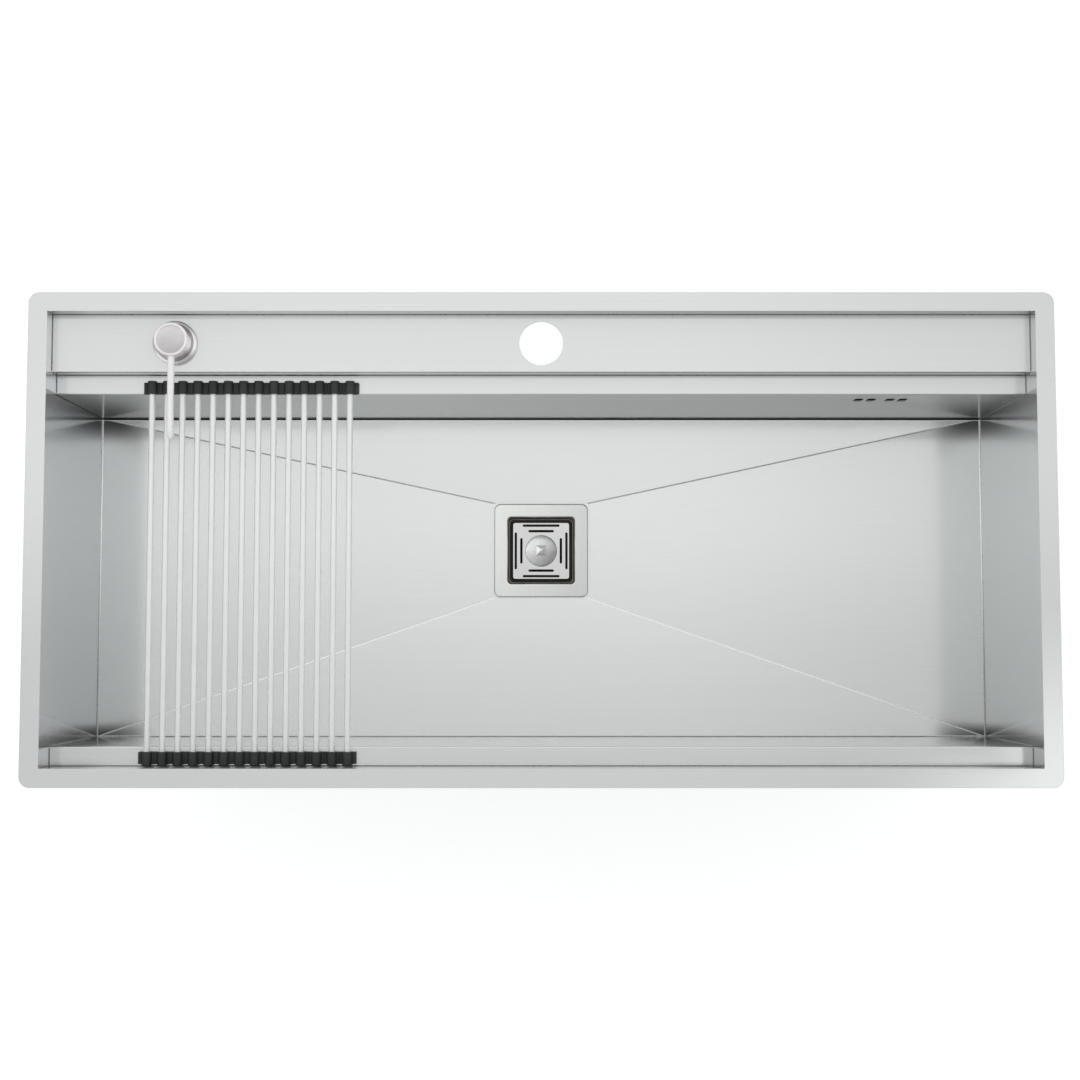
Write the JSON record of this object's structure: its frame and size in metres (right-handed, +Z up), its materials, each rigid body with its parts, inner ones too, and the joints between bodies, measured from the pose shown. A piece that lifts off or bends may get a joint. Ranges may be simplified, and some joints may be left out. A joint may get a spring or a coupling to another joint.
{
  "type": "stainless steel kitchen sink",
  "caption": "Wide single-bowl drop-in steel sink with sunk tap ledge, accessory ledges, creased floor, square drain with lift-out strainer, overflow, soap pump and roll-up rack.",
  "frame": {"origin": "worktop level at the centre of the rim, where the rim's seal rests", "axes": "+X along the sink to the right, +Y back to the tap ledge, +Z up"},
  "size_m": [1, 0.48, 0.3485],
  "materials": {
    "sink_steel": "satin brushed",
    "drain_steel": "satin",
    "rod_steel": "polished",
    "pump_chrome": "polished",
    "spring_steel": "plain",
    "silicone": "matt",
    "seal_rubber": "matt",
    "damping_pad": "matt",
    "white_plastic": "moulded",
    "black_plastic": "moulded",
    "bottle_plastic": "translucent, smooth"
  },
  "bodies": {
    "sink": {"rim_frame": "sink_steel", "back_drop": "sink_steel", "front_drop": "sink_steel", "tap_ledge": "sink_steel", "back_wall": "sink_steel", "front_wall": "sink_steel", "left_end": "sink_steel", "right_end": "sink_steel", "floor_pan": "sink_steel", "sound_pads": "damping_pad", "rim_seal": "seal_rubber", "mounting_clips": "spring_steel", "drain_gasket": "seal_rubber", "drain_flange": "drain_steel", "backing_gasket": "seal_rubber", "backing_cup": "black_plastic", "drain_lock_nut": "black_plastic", "waste_washer": "seal_rubber", "waste_tee": "white_plastic", "waste_coupling_nut": "black_plastic", "overflow_gasket": "seal_rubber", "overflow_housing": "white_plastic", "overflow_studs": "spring_steel", "overflow_nuts": "spring_steel", "overflow_pipe": "white_plastic", "overflow_pipe_nuts": "black_plastic", "overflow_pipe_seals": "seal_rubber", "soap_base": "pump_chrome", "soap_gasket": "seal_rubber", "soap_lock_nut": "black_plastic", "soap_bottle": "bottle_plastic", "soap_cylinder": "white_plastic", "soap_spring": "spring_steel", "soap_dip_tube": "bottle_plastic"},
    "strainer": {"strainer_plate": "drain_steel", "strainer_knob": "drain_steel", "strainer_spacer": "drain_steel", "strainer_basket": "drain_steel", "strainer_stopper": "seal_rubber", "strainer_nut": "spring_steel"},
    "pump_plunger": {"soap_plunger": "pump_chrome", "soap_piston_seal": "seal_rubber"},
    "pump_head": {"soap_head": "pump_chrome", "soap_spout": "pump_chrome"},
    "rack": {"rack_back_strip": "silicone", "rack_front_strip": "silicone", "rack_rods": "rod_steel"},
    "rack_link_1": {"rack_rod_12": "rod_steel", "rack_knuckles_12": "silicone"},
    "rack_link_2": {"rack_rod_13": "rod_steel", "rack_knuckles_13": "silicone"},
    "rack_link_3": {"rack_rod_14": "rod_steel", "rack_knuckles_14": "silicone"}
  },
  "joints": [
    {"name": "strainer_lift", "type": "slide", "parent": "sink", "child": "strainer", "axis": [0, 0, 1], "range_m": [0, 0.26]},
    {"name": "pump_press", "type": "slide", "parent": "sink", "child": "pump_plunger", "axis": [0, 0, -1], "range_m": [0, 0.006], "stiffness_N_per_m": 400, "springref_m": -0.012, "deforming": ["soap_spring"]},
    {"name": "head_swivel", "type": "hinge", "parent": "pump_plunger", "child": "pump_head", "pos_m": [-0.36, 0.19275, 0], "axis": [0, 0, 1], "range_deg": [-100, 100]},
    {"name": "rack_slide", "type": "slide", "parent": "sink", "child": "rack", "axis": [1, 0, 0], "range_m": [-0.01, 0.65]},
    {"name": "rack_roll_1", "type": "hinge", "parent": "rack", "child": "rack_link_1", "pos_m": [-0.22698, -0.0315, -0.0279], "axis": [0, -1, 0], "range_deg": [0, 60]},
    {"name": "rack_roll_2", "type": "hinge", "parent": "rack_link_1", "child": "rack_link_2", "pos_m": [-0.21193, -0.0315, -0.0279], "axis": [0, -1, 0], "range_deg": [0, 60]},
    {"name": "rack_roll_3", "type": "hinge", "parent": "rack_link_2", "child": "rack_link_3", "pos_m": [-0.19687, -0.0315, -0.0279], "axis": [0, -1, 0], "range_deg": [0, 60]}
  ],
  "couplings": [
    {"joint": "rack_roll_2", "follows": "rack_roll_1", "ratio": 1},
    {"joint": "rack_roll_3", "follows": "rack_roll_1", "ratio": 1}
  ]
}
